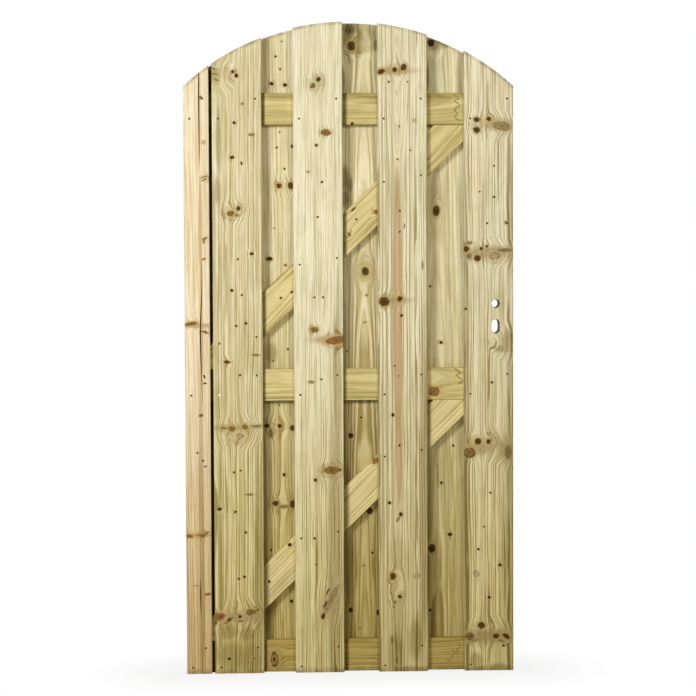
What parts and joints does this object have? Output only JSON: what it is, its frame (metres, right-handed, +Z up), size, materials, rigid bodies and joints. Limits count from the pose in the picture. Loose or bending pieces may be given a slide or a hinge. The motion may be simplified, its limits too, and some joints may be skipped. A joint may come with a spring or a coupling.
{
  "type": "garden gate leaf",
  "caption": "Arched wooden garden gate leaf: boards nailed alternately to the front and back of rails and diagonal braces, with lock holes bored through near one edge.",
  "frame": {"origin": "middle of the leaf's foot, half way between its front and back faces", "axes": "+X towards the lock edge, -Y towards the front face, +Z up"},
  "size_m": [0.967, 0.064, 1.9149],
  "materials": {
    "front_boards": "planed, green-tinged treated softwood",
    "back_boards": "planed, green-tinged treated softwood",
    "rails_and_braces": "planed, green-tinged treated softwood",
    "nails": "dull galvanised"
  },
  "bodies": {
    "root": {"front_strip": "front_boards", "front_board_1": "front_boards", "front_board_2": "front_boards", "front_board_3": "front_boards", "front_board_4": "front_boards", "back_board_1": "back_boards", "back_board_2": "back_boards", "back_board_3": "back_boards", "back_board_4": "back_boards", "back_strip": "back_boards", "top_rail": "rails_and_braces", "middle_rail": "rails_and_braces", "bottom_rail": "rails_and_braces", "upper_brace": "rails_and_braces", "lower_brace": "rails_and_braces", "lock_stile": "rails_and_braces", "front_strip_nails": "nails", "front_board_1_nails": "nails", "front_board_2_nails": "nails", "front_board_3_nails": "nails", "front_board_4_nails": "nails", "back_board_1_nails": "nails", "back_board_2_nails": "nails", "back_board_3_nails": "nails", "back_board_4_nails": "nails", "back_strip_nails": "nails"}
  },
  "joints": []
}
